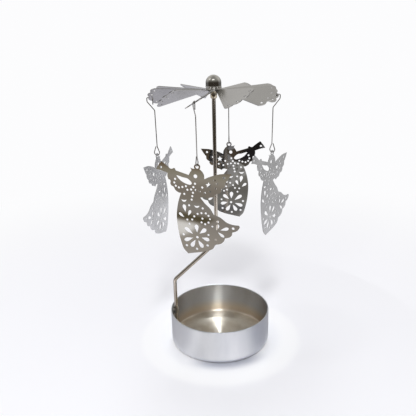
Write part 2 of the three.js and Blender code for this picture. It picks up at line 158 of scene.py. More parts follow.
def step_between(tree, value, span, scale=1):
    """A soft step from 0 at the first end of a span to 1 at its second."""
    inputs = {"Value": value, "From Min": span[0] * scale, "From Max": span[1] * scale}
    step = add_node(tree, "ShaderNodeMapRange", inputs)
    step.interpolation_type = "SMOOTHSTEP"
    return step.outputs["Result"]


def blend_colors(tree, share, a, b):
    mix = tree.nodes.new("ShaderNodeMix")
    mix.data_type = "RGBA"
    feed(tree, mix.inputs["Factor"], share)
    feed(tree, mix.inputs["A"], a)
    feed(tree, mix.inputs["B"], b)
    return mix.outputs["Result"]


def seen_directly(tree):
    """1 for what the camera, a mirror or glass shows, and 0 for what lights the object."""
    path = tree.nodes.new("ShaderNodeLightPath").outputs
    seen = math_node(tree, "MAXIMUM", path["Is Camera Ray"], path["Is Glossy Ray"])
    return math_node(tree, "MAXIMUM", seen, path["Is Transmission Ray"])


# Materials

# A metal's roughness wanders between these shares of its own value.
GLOSS_SPREAD = (0.85, 1.2)
# The height of the finest bumps in metres, and how many slow waves go to a metre.
BUMP_HEIGHT = 0.0001
WAVES = 25.0
QUARTER_TURN = 0.25


def new_material(name):
    material = bpy.data.materials.new(name)
    material.use_nodes = True
    return material, material.node_tree, material.node_tree.nodes["Principled BSDF"]


def metal(name, color, roughness, patch_color=None, patch_scale=60.0, patch_share=0.5, wear=0.08,
          patch_stretch=None, grain=None, bump=0.02, bump_scale=900.0, wave=0.0, brushed=0.0,
          painted_foot_color=None, foot_reach=None):
    """Plated or rolled metal: soft patches of tone, uneven gloss, fine grain and slow waves in the sheet.

    Patches and bumps are counted to the metre, the waves' height is in metres and the reach of the tone at
    the foot in millimetres. Without a patch colour, the patches are darker by the wear."""
    material, tree, shader = new_material(name)
    shader.inputs["Metallic"].default_value = 1.0
    if brushed:
        # Turned or polished in circles about the upright axis.
        shader.inputs["Anisotropic"].default_value = brushed
        shader.inputs["Anisotropic Rotation"].default_value = QUARTER_TURN
        circles = tree.nodes.new("ShaderNodeTangent")
        circles.direction_type = "RADIAL"
        circles.axis = "Z"
        tree.links.new(circles.outputs["Tangent"], shader.inputs["Tangent"])
    place = own_place(tree)
    patches = add_node(tree, "ShaderNodeMapRange", {
        "Value": noise(tree, place, patch_scale, detail=4.0, stretch=patch_stretch),
        "From Min": 0.5 - patch_share / 4,
        "From Max": 0.5 + patch_share / 4,
    }).outputs["Result"]
    worn = patch_color or [c * (1 - wear) for c in color]
    tone = blend_colors(tree, patches, rgba(color), rgba(worn))
    if painted_foot_color:
        # Painted warm light: the tone turns lighter and warmer low down, most at the foot.
        painted_warm_light = step_between(tree, axes_of(tree, place)["Z"], foot_reach, MM)
        tone = blend_colors(tree, painted_warm_light, tone, rgba(painted_foot_color))
    tree.links.new(tone, shader.inputs["Base Color"])
    fine = noise(tree, place, bump_scale, detail=3.0, stretch=grain)
    gloss = add_node(tree, "ShaderNodeMapRange", {
        "Value": fine,
        "To Min": roughness * GLOSS_SPREAD[0],
        "To Max": roughness * GLOSS_SPREAD[1],
    })
    tree.links.new(gloss.outputs["Result"], shader.inputs["Roughness"])
    bumps = {"Strength": bump, "Distance": BUMP_HEIGHT, "Height": fine}
    if wave:
        slow = {"Strength": 1.0, "Distance": wave, "Height": noise(tree, place, WAVES, detail=1.0)}
        bumps["Normal"] = add_node(tree, "ShaderNodeBump", slow).outputs["Normal"]
    tree.links.new(add_node(tree, "ShaderNodeBump", bumps).outputs["Normal"], shader.inputs["Normal"])
    return material


cup_steel = metal("cup_steel", (0.8, 0.805, 0.825), 0.3, patch_color=(0.6, 0.61, 0.65), patch_scale=55.0,
                  patch_share=0.9, patch_stretch=(1, 1, 0.3), bump=0.05, bump_scale=300.0, grain=(6, 6, 0.6))
# The inner wall's foot colour is painted warm light: lighter and warmer low down.
cup_wall_inside = metal("cup_wall_inside", (0.67, 0.69, 0.73), 0.36, patch_color=(0.55, 0.555, 0.57),
                        patch_stretch=(1, 1, 0.4), bump=0.05, bump_scale=500.0, grain=(1, 1, 9),
                        brushed=0.7, painted_foot_color=(0.74, 0.645, 0.54), foot_reach=(11.5, 3.0))
cup_floor_inside = metal("cup_floor_inside", (0.8, 0.735, 0.635), 0.42, patch_color=(0.64, 0.56, 0.455),
                         patch_scale=90.0, bump=0.03, bump_scale=500.0, brushed=0.96)
strap_steel = metal("strap_steel", (0.55, 0.54, 0.52), 0.25, bump=0.04)
post_chrome = metal("post_chrome", (0.64, 0.58, 0.51), 0.18, patch_scale=80.0, bump=0.005,
                    grain=(4, 4, 0.4))
fan_sheet = metal("fan_sheet", (0.57, 0.56, 0.55), 0.24, patch_scale=30.0, wear=0.12, bump=0.01,
                  wave=0.0003)
dome_chrome = metal("dome_chrome", (0.62, 0.6, 0.56), 0.07, bump=0.01)
sleeve_chrome = metal("sleeve_chrome", (0.55, 0.49, 0.39), 0.13)
seat_brass = metal("seat_brass", (0.69, 0.52, 0.25), 0.25)
hanger_wire = metal("hanger_wire", (0.4, 0.385, 0.37), 0.3, bump=0.005)
angel_sheet = metal("angel_sheet", (0.5, 0.495, 0.485), 0.05, patch_scale=35.0, bump=0.006, wave=0.0001)
# The two figures seen from the side look paler and less bright in the photograph, so they get this paler,
# rougher copy of the same sheet: painted light.
angel_sheet_painted_paler = metal("angel_sheet_painted_paler", (0.64, 0.645, 0.66), 0.4, wear=0.14, bump=0.03, wave=0.0002)


# Mesh helpers

def add_mesh(name, points, faces, material, smooth_angle=None):
    mesh = bpy.data.meshes.new(name)
    mesh.from_pydata([tuple(Vector(p) * MM) for p in points], [], faces)
    mesh.validate()
    mesh.materials.append(material)
    piece = bpy.data.objects.new(name, mesh)
    bpy.context.scene.collection.objects.link(piece)
    if smooth_angle is not None:
        mesh.shade_smooth()
        mesh.set_sharp_from_angle(angle=smooth_angle)
    return piece


def arc(cx, cy, radius, start, end, steps):
    return [(cx + radius * math.cos(start + (end - start) * i / steps),
             cy + radius * math.sin(start + (end - start) * i / steps)) for i in range(steps + 1)]


def ring(cx, cy, radius, sides):
    return arc(cx, cy, radius, 0, TURN, sides)[:-1]


def turned(name, profile, material, sides, smooth, centre=(0, 0, 0)):
    """Revolves a line of (radius, height) points, closed where it ends on its first point. A point on the
    axis becomes one vertex."""
    closed = profile[0] == profile[-1]
    points, rows = [], []
    for radius, z in profile[:-1] if closed else profile:
        if radius < NEAR:
            rows.append([len(points)] * sides)
            points.append((centre[0], centre[1], centre[2] + z))
            continue
        rows.append(list(range(len(points), len(points) + sides)))
        points += [(x, y, centre[2] + z) for x, y in ring(centre[0], centre[1], radius, sides)]
    if closed:
        rows.append(rows[0])
    faces = []
    for low, high in zip(rows, rows[1:]):
        for i in range(sides):
            j = (i + 1) % sides
            corners = [low[i], low[j], high[j], high[i]]
            corners = [c for k, c in enumerate(corners) if c not in corners[:k]]
            if len(corners) > 2:
                faces.append(corners)
    return add_mesh(name, points, faces, material, smooth)


def bent_line(corners, steps):
    """Rounds each inner corner of a path to its own radius."""
    line = [Vector(corners[0][0])]
    for i in range(1, len(corners) - 1):
        at, radius = Vector(corners[i][0]), corners[i][1]
        back = (Vector(corners[i - 1][0]) - at).normalized()
        on = (Vector(corners[i + 1][0]) - at).normalized()
        half = back.angle(on) / 2
        reach = radius / math.tan(half)
        centre = at + (back + on).normalized() * (radius / math.sin(half))
        start = at + back * reach - centre
        end = at + on * reach - centre
        sweep = start.angle(end)
        for j in range(steps + 1):
            a = math.sin((steps - j) * sweep / steps) / math.sin(sweep)
            b = math.sin(j * sweep / steps) / math.sin(sweep)
            line.append(centre + start * a + end * b)
    line.append(Vector(corners[-1][0]))
    return line


def round_bar(name, line, radius, material, sides, end_radius=None):
    """A round bar along a path, with its section carried round the bends without twist."""
    last = len(line) - 1
    radii = [radius] * last + [end_radius or radius]
    tangents = [(line[min(i + 1, last)] - line[max(i - 1, 0)]).normalized() for i in range(last + 1)]
    side = tangents[0].orthogonal().normalized()
    points, rows = [], []

    def add_row(centre, tangent, reach):
        other = tangent.cross(side)
        rows.append(list(range(len(points), len(points) + sides)))
        for i in range(sides):
            angle = TURN * i / sides
            points.append(centre + side * (math.cos(angle) * reach) + other * (math.sin(angle) * reach))

    for i, (centre, tangent) in enumerate(zip(line, tangents)):
        side = (side - tangent * side.dot(tangent)).normalized()
        bevel = radii[i] * BAR_END
        if i == 0:
            add_row(centre, tangent, radii[i] - bevel)
            add_row(centre + tangent * bevel, tangent, radii[i])
        elif i == last:
            add_row(centre - tangent * bevel, tangent, radii[i])
            add_row(centre, tangent, radii[i] - bevel)
        else:
            add_row(centre, tangent, radii[i])
    faces = [tuple(reversed(rows[0])), tuple(rows[-1])]
    for low, high in zip(rows, rows[1:]):
        for i in range(sides):
            j = (i + 1) % sides
            faces.append((low[i], low[j], high[j], high[i]))
    return add_mesh(name, points, faces, material, smooth_angle=40 * DEG)


def inside(rings, x, y):
    """Even-odd test of many points against rings of 2D points."""
    odd = np.zeros(len(x), bool)
    for loop in rings:
        a = np.array(loop)
        b = np.roll(a, -1, axis=0)
        for (ax, ay), (bx, by) in zip(a, b):
            if ay == by:
                continue
            hit = ((ay > y) != (by > y)) & (x < ax + (bx - ax) * (y - ay) / (by - ay))
            odd ^= hit
    return odd


def flat_faces(rings):
    """Counter-clockwise triangles that fill an outline and leave its holes."""
    flat, edges = [], []
    for loop in rings:
        first = len(flat)
        flat += [Vector(p) for p in loop]
        edges += [(first + i, first + (i + 1) % len(loop)) for i in range(len(loop))]
    points, _, faces, _, _, _ = delaunay_2d_cdt(flat, edges, [], 0, NEAR)
    middle = np.array([[sum(points[i][k] for i in f) / 3 for k in (0, 1)] for f in faces])
    keep = inside(rings, middle[:, 0], middle[:, 1])
    kept = []
    for face, use in zip(faces, keep):
        if not use:
            continue
        a, b, c = (points[i] for i in face)
        area = (b[0] - a[0]) * (c[1] - a[1]) - (c[0] - a[0]) * (b[1] - a[1])
        kept.append(tuple(face) if area > 0 else (face[0], face[2], face[1]))
    return [tuple(p) for p in points], kept


def sheet_solid(name, faces, count, place, material, smooth=None):
    """Gives a sheet of faces its thickness: place(i, side) is point i on the upper or lower face."""
    points = [place(i, 1) for i in range(count)] + [place(i, -1) for i in range(count)]
    # The border is made of the edges that belong to one face alone.
    solid, border = [], {}
    for face in faces:
        solid.append(tuple(face))
        solid.append(tuple(i + count for i in reversed(face)))
        for k, a in enumerate(face):
            b = face[(k + 1) % len(face)]
            if (b, a) in border:
                del border[(b, a)]
            else:
                border[(a, b)] = True
    for a, b in border:
        solid.append((a, a + count, b + count, b))
    return add_mesh(name, points, solid, material, smooth)


# The cup: drawn steel with a rounded lip and a rounded corner at the foot.

def make_cup():
    r, h, wall, corner = CUP["radius"], CUP["height"], CUP["wall"], CUP["corner"]
    lip = wall / 2
    flat = r - corner
    heights = (corner + CUP_ROWS["over_corner"], h / 2, h - lip - CUP_ROWS["under_lip"])
    profile = [(0, 0)] + [(flat - gap, 0) for gap in CUP_ROWS["under"]]
    profile += arc(flat, corner, corner, -math.pi / 2, 0, steps=10)
    profile += [(r, z) for z in heights]
    profile += arc(r - lip, h - lip, lip, 0, math.pi, steps=10)
    profile += [(r - wall, z) for z in reversed(heights)]
    profile += arc(flat, corner, corner - wall, 0, -math.pi / 2, steps=8)
    profile += [(flat - gap, wall) for gap in CUP_ROWS["floor"]]
    profile += [(x, wall) for x in CUP_ROWS["floor_middle"]] + [(0, wall)]
    cup = turned("cup_smooth", profile, cup_steel, sides=192, smooth=50 * DEG)
    cup.data.materials.append(cup_wall_inside)
    cup.data.materials.append(cup_floor_inside)
    for face in cup.data.polygons:
        middle = face.center / MM
        if middle.z > wall / 2 and math.hypot(middle.x, middle.y) < r - wall / 2:
            face.material_index = 2 if middle.z < corner / 2 else 1
    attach(cup, "stand")
    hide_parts("candle_cup")


# The bent post, ground to a point at its upper end.

def make_post():
    p = POST
    line = bent_line([
        ((p["foot_x"], 0, p["foot_z"]), 0),
        ((p["foot_x"], 0, p["lower_z"]), p["bend"]),
        ((p["axis_x"], 0, p["upper_z"]), p["bend"]),
        ((p["axis_x"], 0, p["top_z"]), 0),
    ], steps=16)
    # Its taper to the point starts here.
    line.insert(-1, Vector((p["axis_x"], 0, p["shoulder_z"])))
    post = round_bar("post_smooth", line, p["radius"], post_chrome, sides=32, end_radius=p["tip_radius"])
    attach(post, "stand")
    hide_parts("post")


# The wheel of blades

def blade_angle(blade):
    return FAN["first"] + blade * TURN / FAN["blades"]


def blade_frame(angle, twist):
    """The level way out to a blade, and the blade's own axes: along it, across it and off its upper side."""
    radial = Vector((math.cos(angle), math.sin(angle), 0))
    across = Vector((math.sin(angle), -math.cos(angle), 0))
    up = Vector((0, 0, 1))
    droop = FAN["droop"]
    out = radial * math.cos(droop) - up * math.sin(droop)
    lift = up * math.cos(droop) + radial * math.sin(droop)
    return (radial, out, across * math.cos(twist) - lift * math.sin(twist),
            lift * math.cos(twist) + across * math.sin(twist))


def blade_point(angle, x, y, twist):
    """A point of a blade, from the wheel's centre: x outwards along the blade and y across it."""
    radial, out, across, _ = blade_frame(angle, twist)
    return radial * FAN["hub"] + out * (x - FAN["hub"]) + across * y


TIP_RADIUS = (FAN["corner_y"] ** 2 + FAN["tip_rise"] ** 2) / (2 * FAN["tip_rise"])
TIP_X = FAN["corner_x"] + FAN["tip_rise"] - TIP_RADIUS
TIP_HALF = math.asin(FAN["corner_y"] / TIP_RADIUS)


def tip_at(share, beyond):
    """A point of a blade's tip, by its share of the tip's arc and its distance beyond the arc."""
    angle = TIP_HALF * (2 * share - 1)
    return (TIP_X + (TIP_RADIUS + beyond) * math.cos(angle), (TIP_RADIUS + beyond) * math.sin(angle))


LOBE_HOLES = [tip_at((i + 0.5) / FAN["lobes"], -FAN["inset"]) for i in range(FAN["lobes"])]
HANGER_HOLE = LOBE_HOLES[FAN["lobes"] // 2]


def make_fan():
    places, faces = [], []
    up = Vector((0, 0, 1))

    def add_point(angle, x, y, twist):
        places.append((blade_point(angle, x, y, twist), blade_frame(angle, twist)[3]))
        return len(places) - 1

    def hub_ring(radius, angle):
        places.append((Vector((radius * math.cos(angle), radius * math.sin(angle), 0)), up))
        return len(places) - 1

    half = math.asin(FAN["neck_hub"] / FAN["hub"])
    rims = []
    for k in range(FAN["blades"]):
        angle = blade_angle(k)
        rims.append([(hub_ring(FAN["hub"], angle + s * half), hub_ring(FAN["bore"], angle + s * half))
                     for s in (-1, 1)])
    lobe_steps, neck_steps = 10, 6
    outline = [(FAN["neck_end"], FAN["neck_half"]), (FAN["neck_end"], -FAN["neck_half"])]
    for i in range(FAN["lobes"] * lobe_steps + 1):
        bulge = FAN["bulge"] * math.sin(math.pi * (i % lobe_steps) / lobe_steps)
        outline.append(tip_at(i / (FAN["lobes"] * lobe_steps), bulge))
    flat, flat_tris = flat_faces([outline] + [ring(x, y, FAN["hole"], sides=14) for x, y in LOBE_HOLES])
    # The two corners of the flat blade where its neck ends.
    plus, minus = (min(range(len(flat)), key=lambda i: math.dist(flat[i], corner)) for corner in outline[:2])
    for k in range(FAN["blades"]):
        angle = blade_angle(k)
        # The hub's ring: the part at the blade's root, then the part up to the next blade.
        right, left = rims[k]
        following = rims[(k + 1) % FAN["blades"]][0]
        faces.append((right[1], right[0], left[0], left[1]))
        faces.append((left[1], left[0], following[0], following[1]))
        start = len(places)
        for x, y in flat:
            add_point(angle, x, y, FAN["twist"])
        faces += [(start + a, start + c, start + b) for a, b, c in flat_tris]
        row = (right[0], left[0])
        for j in range(1, neck_steps + 1):
            share = j / neck_steps
            if j == neck_steps:
                following_row = (start + plus, start + minus)
            else:
                x = FAN["hub"] + (FAN["neck_end"] - FAN["hub"]) * share
                y = FAN["neck_hub"] + (FAN["neck_half"] - FAN["neck_hub"]) * share
                # The twist starts and ends gently.
                twist = FAN["twist"] * (share * share * (3 - 2 * share))
                following_row = (add_point(angle, x, y, twist), add_point(angle, x, -y, twist))
            faces.append((row[0], following_row[0], following_row[1], row[1]))
            row = following_row
    centre = Vector((POST["axis_x"], 0, FAN["plane_z"]))

    def place(i, side):
        middle, normal = places[i]
        return centre + middle + normal * (side * FAN["sheet"] / 2)

    fan = sheet_solid("fan_sheet_smooth", faces, len(places), place, fan_sheet, smooth=25 * DEG)
    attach(fan, "wheel")
    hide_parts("fan")


def make_hub():
    profile = [(CAP["bore"], 0)] + [(CAP["radius"] + out, z) for out, z in CAP_RIM]
    profile.append((CAP["radius"], CAP["straight"] - CAP["row"]))
    profile += arc(0, CAP["straight"], CAP["radius"], 0, math.pi / 2, steps=24)
    profile[-1] = (0, profile[-1][1])
    profile += [(0, CAP["roof"]), (CAP["bore"], CAP["roof"]), (CAP["bore"], 0)]
    cap = turned("dome_smooth", profile, dome_chrome, sides=128, smooth=45 * DEG,
                 centre=(POST["axis_x"], 0, CAP["base_z"]))
    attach(cap, "wheel")
    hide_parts("dome_cap")
    radius, bore, edge, neck = SLEEVE["radius"], SLEEVE["bore"], SLEEVE["edge"], SLEEVE["neck_radius"]
    foot, head = -SLEEVE["length"], SLEEVE["neck"]
    profile = [(bore, foot)] + [(radius - inward, foot + z) for inward, z in SLEEVE_FOOT]
    profile += [(radius, -edge), (radius - edge, 0), (neck, 0), (neck, head), (bore, head), (bore, foot)]
    sleeve = turned("sleeve_smooth", profile, sleeve_chrome, sides=64, smooth=50 * DEG,
                    centre=(POST["axis_x"], 0, SLEEVE["top_z"]))
    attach(sleeve, "wheel")
    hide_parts("hub_sleeve")


# Hangers: a hook through the blade's hole and over its edge, a straight drop and a teardrop loop.

def make_hanger(name, blade, facing):
    w = WIRE
    angle = blade_angle(blade)
    hole = blade_point(angle, *HANGER_HOLE, FAN["twist"])
    drop = FAN["plane_z"] + hole.z - (ANGEL["ring_z"] + w["grip"])
    loop_angle = facing + math.pi / 2
    edge = (TIP_X + TIP_RADIUS + FAN["bulge"] - HANGER_HOLE[0]) * math.cos(FAN["droop"])
    out_x = edge + w["edge_clear"] + w["radius"]
    down_x = -w["inward"]
    radial = Vector((math.cos(angle), math.sin(angle), 0))
    across = Vector((math.cos(loop_angle), math.sin(loop_angle), 0))
    start = Vector((POST["axis_x"] + hole.x, hole.y, FAN["plane_z"] + hole.z))

    def at(x, z, s=0.0):
        return start + radial * x + Vector((0, 0, z)) + across * s

    corners = [
        (at(0, -w["free_end"]), 0),
        (at(0, w["over_top"]), w["hook_bend"]),
        (at(out_x, w["over_top"] / 2), w["hook_bend"]),
        (at(out_x, -w["free_end"] / 2), w["shoulder_bend"]),
        (at(down_x, -w["turn_in"]), w["shoulder_bend"]),
        (at(down_x, w["loop_neck"] - drop, w["radius"]), 0),
    ]
    line = bent_line(corners, steps=8)
    centre_z = w["loop_radius"] - drop
    line += [at(down_x, centre_z + z, s) for s, z in
             arc(0, 0, w["loop_radius"], w["loop_open"], -math.pi - w["loop_open"], steps=28)]
    line.append(at(down_x, w["loop_neck"] - drop, -w["radius"] - w["end_gap"]))
    hanger = round_bar("hanger_" + name + "_smooth", line, w["radius"], hanger_wire, sides=12)
    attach(hanger, "hook_" + name)
    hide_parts("hanger_" + name)
    return Vector((start.x + radial.x * down_x, start.y + radial.y * down_x, ANGEL["ring_z"]))


# The angel: shares of its height, from the middle of its ring, x towards the wing and y up.
# Each run is smoothed by itself, so the ends of the runs stay sharp. The first runs go from the trumpet's
# bell down the front, round the hem, up the back and over the wing to the ring.
OUTLINE_RUNS = [
    [(-0.398, 0.036), (-0.432, -0.004), (-0.462, -0.05)],
    [(-0.462, -0.05), (-0.398, -0.062), (-0.332, -0.084)],
    [(-0.332, -0.084), (-0.334, -0.118), (-0.324, -0.15)],
    [(-0.324, -0.15), (-0.303, -0.16), (-0.3, -0.178)],
    [(-0.3, -0.178), (-0.302, -0.202), (-0.288, -0.222)],
    [(-0.288, -0.222), (-0.268, -0.23), (-0.256, -0.25)],
    [(-0.256, -0.25), (-0.244, -0.268), (-0.212, -0.288), (-0.182, -0.292)],
    [(-0.182, -0.292), (-0.198, -0.33), (-0.222, -0.41), (-0.238, -0.52), (-0.236, -0.62), (-0.22, -0.74),
     (-0.196, -0.84), (-0.168, -0.92), (-0.116, -0.976)],
    [(-0.116, -0.976), (-0.05, -0.96), (0.06, -0.934), (0.15, -0.9), (0.18, -0.87), (0.188, -0.838)],
    [(0.188, -0.838), (0.25, -0.822), (0.29, -0.786), (0.3, -0.752)],
    [(0.3, -0.752), (0.35, -0.736), (0.376, -0.71), (0.382, -0.676)],
    [(0.382, -0.676), (0.43, -0.656), (0.46, -0.616), (0.452, -0.594)],
    [(0.452, -0.594), (0.384, -0.592), (0.316, -0.572), (0.25, -0.526), (0.176, -0.5)],
    [(0.176, -0.5), (0.136, -0.436), (0.08, -0.386), (0.03, -0.326)],
    [(0.03, -0.326), (0.08, -0.316), (0.104, -0.335)],
    [(0.104, -0.335), (0.14, -0.316), (0.176, -0.308), (0.2, -0.272)],
    [(0.2, -0.272), (0.24, -0.264), (0.262, -0.236), (0.258, -0.22)],
    [(0.258, -0.22), (0.286, -0.2), (0.302, -0.176), (0.3, -0.154)],
    [(0.3, -0.154), (0.334, -0.108), (0.368, -0.05)],
    [(0.368, -0.05), (0.26, -0.058), (0.18, -0.08), (0.12, -0.102), (0.078, -0.124)],
    [(0.078, -0.124), (0.074, -0.084), (0.056, -0.05), (0.03, -0.024)],
]
# From the ring down the face and along the trumpet to its bell.
FRONT_RUNS = [
    [(-0.03, -0.022), (-0.052, -0.02), (-0.076, -0.012)],
    [(-0.076, -0.012), (-0.066, -0.026), (-0.062, -0.04)],
    [(-0.062, -0.04), (-0.074, -0.054), (-0.08, -0.066)],
    [(-0.08, -0.066), (-0.088, -0.078), (-0.094, -0.092)],
    [(-0.094, -0.092), (-0.166, -0.072), (-0.24, -0.052)],
    [(-0.24, -0.052), (-0.248, -0.032), (-0.262, -0.028), (-0.274, -0.036)],
    [(-0.274, -0.036), (-0.3, -0.036), (-0.34, -0.004), (-0.398, 0.036)],
]
ARM_GAP = [(-0.23, -0.102), (-0.16, -0.12), (-0.106, -0.13), (-0.062, -0.172), (-0.08, -0.196),
           (-0.13, -0.186), (-0.18, -0.162), (-0.21, -0.134)]
# Round holes: place and radius.
DOTS = [
    (-0.406, -0.026, 0.013), (-0.02, -0.1, 0.021),
    (-0.248, -0.144, 0.012), (-0.258, -0.184, 0.012), (-0.242, -0.218, 0.012), (-0.208, -0.234, 0.012),
    (-0.168, -0.226, 0.012), (-0.128, -0.214, 0.012), (-0.112, -0.252, 0.012), (-0.07, -0.246, 0.012),
    (-0.044, -0.218, 0.012), (-0.026, -0.18, 0.012), (-0.018, -0.248, 0.012), (-0.05, -0.28, 0.012),
    (-0.058, -0.318, 0.012), (-0.066, -0.356, 0.012), (0.024, -0.256, 0.012), (0.054, -0.214, 0.012),
    (0.08, -0.27, 0.012), (0.14, -0.252, 0.012), (0.2, -0.214, 0.012), (0.214, -0.162, 0.012),
    (0.188, -0.128, 0.012), (0.288, -0.096, 0.014),
    (-0.148, -0.3, 0.012), (-0.096, -0.422, 0.012), (0.056, -0.442, 0.012),
    (-0.12, -0.584, 0.012), (-0.096, -0.63, 0.012), (-0.064, -0.578, 0.012), (-0.04, -0.54, 0.012),
    (-0.002, -0.508, 0.012), (0.042, -0.496, 0.012), (0.09, -0.494, 0.012), (0.12, -0.518, 0.012),
    (0.052, -0.556, 0.012), (0.042, -0.6, 0.012), (0.082, -0.616, 0.012), (0.12, -0.594, 0.012),
    (0.136, -0.554, 0.01), (0.162, -0.634, 0.01),
    (-0.166, -0.758, 0.014), (-0.132, -0.882, 0.014), (-0.014, -0.91, 0.014), (0.108, -0.856, 0.014),
    (0.118, -0.734, 0.012), (-0.008, -0.774, 0.015),
    (0.22, -0.574, 0.014), (0.39, -0.632, 0.015), (0.2, -0.78, 0.013),
]
# Petals: the outer end, the inner end and half the width.
LEAVES = [
    (-0.156, -0.414, -0.138, -0.502, 0.022), (-0.08, -0.474, -0.109, -0.538, 0.018),
    (-0.214, -0.514, -0.152, -0.562, 0.018),
    (-0.018, -0.628, -0.011, -0.722, 0.025), (0.094, -0.668, 0.017, -0.731, 0.024),
    (0.13, -0.794, 0.038, -0.773, 0.024), (0.056, -0.89, 0.001, -0.806, 0.025),
    (-0.08, -0.894, -0.03, -0.806, 0.025), (-0.16, -0.826, -0.056, -0.784, 0.024),
    (-0.152, -0.676, -0.054, -0.744, 0.024),
    (0.228, -0.602, 0.208, -0.674, 0.018), (0.344, -0.636, 0.248, -0.668, 0.02),
    (0.294, -0.742, 0.218, -0.688, 0.018),
]
# Crescents and a star: place and radius.
CRESCENTS = [(-0.154, -0.358, 0.03), (-0.01, -0.412, 0.03)]
STAR = (0.124, -0.187, 0.036)
# The figure's centre of mass.
CENTRE_SHARE = (0.0076, -0.469)


def smooth_run(points, steps=5, closed=False):
    """A Catmull-Rom curve through the points; the last point is left off, as the next run starts there."""
    n = len(points)
    out = []
    for i in range(n if closed else n - 1):
        if closed:
            p0, p1, p2, p3 = (points[(i + k) % n] for k in (-1, 0, 1, 2))
        else:
            p1, p2 = points[i], points[i + 1]
            p0 = points[i - 1] if i else (2 * p1[0] - p2[0], 2 * p1[1] - p2[1])
            p3 = points[i + 2] if i + 2 < n else (2 * p2[0] - p1[0], 2 * p2[1] - p1[1])
        for j in range(steps):
            t = j / steps
            out.append(tuple(0.5 * (2 * p1[k] + (p2[k] - p0[k]) * t
                                    + (2 * p0[k] - 5 * p1[k] + 4 * p2[k] - p3[k]) * t * t
                                    + (3 * p1[k] - p0[k] - 3 * p2[k] + p3[k]) * t ** 3) for k in (0, 1)))
    return out


PETAL_STEPS = 9
# A petal is widest about a third of the way in from its outer end, and tapers towards the other.
PETAL_SWELL = 0.62
PETAL_TAPER = 0.25
# The hollow side of a crescent is this much flatter than its back.
CRESCENT_HOLLOW = 0.3
STAR_POINTS = 5
STAR_NOTCH = 0.48


def leaf_ring(x0, y0, x1, y1, half):
    length = math.hypot(x1 - x0, y1 - y0)
    dx, dy = (x1 - x0) / length, (y1 - y0) / length
    rim = []
    for side, steps in ((-1, range(PETAL_STEPS + 1)), (1, range(PETAL_STEPS - 1, 0, -1))):
        for step in steps:
            share = step / PETAL_STEPS
            bulge = math.sin(math.pi * share ** PETAL_SWELL) * (1 - PETAL_TAPER * share)
            rim.append((x0 + dx * share * length - dy * side * half * bulge,
                        y0 + dy * share * length + dx * side * half * bulge))
    return rim


def crescent_ring(x, y, radius):
    outer = arc(x, y, radius, math.pi, TURN, steps=12)
    return outer + [(px, y + (py - y) * CRESCENT_HOLLOW) for px, py in reversed(outer[1:-1])]


def star_ring(x, y, radius):
    rim = []
    for i in range(2 * STAR_POINTS):
        angle = math.pi / 2 + i * math.pi / STAR_POINTS
        reach = radius * (STAR_NOTCH if i % 2 else 1)
        rim.append((x + reach * math.cos(angle), y + reach * math.sin(angle)))
    return rim


def make_angel(name, facing, at):
    h = ANGEL["height"]
    outline = []
    for run in OUTLINE_RUNS:
        outline += smooth_run(run)
    outline += arc(0, 0, ANGEL["ring"] / h, *ANGEL["ring_ends"], steps=20)
    for run in FRONT_RUNS:
        outline += smooth_run(run)
    rings = [outline, ring(0, 0, ANGEL["ring_hole"] / h, sides=20),
             smooth_run(ARM_GAP, steps=4, closed=True),
             star_ring(*STAR)]
    rings += [crescent_ring(*c) for c in CRESCENTS]
    rings += [leaf_ring(*leaf) for leaf in LEAVES]
    rings += [ring(x, y, r, sides=12) for x, y, r in DOTS]
    flat, tris = flat_faces(rings)
    # The figure hangs with its centre of mass straight below its ring.
    hang = math.atan2(CENTRE_SHARE[0], -CENTRE_SHARE[1])
    c, s = math.cos(-hang), math.sin(-hang)
    along = Vector((math.cos(facing), math.sin(facing), 0))
    normal = Vector((-math.sin(facing), math.cos(facing), 0))

    def place(i, side):
        x, y = flat[i]
        u, v = (x * c - y * s) * h, (x * s + y * c) * h
        return at + along * u + Vector((0, 0, v)) - normal * (side * ANGEL["sheet"] / 2)

    # The two side figures get the paler copy of the sheet: painted light.
    material = angel_sheet_painted_paler if name in ("left", "right") else angel_sheet
    angel = sheet_solid("angel_" + name + "_smooth", tris, len(flat), place, material)
    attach(angel, "figure_" + name)
    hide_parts("angel_" + name)


# Stage: a pale floor and surround, and glowing pieces that only the metal mirrors, painted reflections of
# the table top further out, with dark things on it in front, and of the room.

PALE = (0.975, 0.975, 0.985)
# What the surround lights the object with, a good deal duller than it looks.
WORLD_LIGHT = (0.57, 0.57, 0.585)
FLOOR = dict(left=-4000, right=4000, front=-500, back=7500, roughness=0.55, gloss=0.2,
             color=(0.905, 0.905, 0.93))
# Painted shade: the floor's colour is darker close to the cup's foot, in front and a little to the right, a
# painted contact shadow: distances from the cup's axis in millimetres, and the cosines of the angles where
# this starts and is full.
FOOT_SHADE = dict(color=(0.45, 0.46, 0.52), reach=(38.5, 31), toward=(0.17, -0.985, 0), spread=(0.68, 0.98))
# The pale ring of light that the cup throws on the table round its foot is painted on the floor as a glow.
LIGHT_RING = dict(inner=(34.5, 42), outer=(53.5, 47.5), strength=0.6)
# Further out the floor turns into the plain pale background.
FLOOR_FADE = (60, 400)

# The mirrored table lies just above the floor, so that the metal shows it in the floor's place.
TABLE = dict(inner=140, outer=1900, height=0.5)
NEAR_TABLE = dict(inner=CUP["radius"] + 2, outer=TABLE["inner"], height=0.4)
RING_SIDES = 64
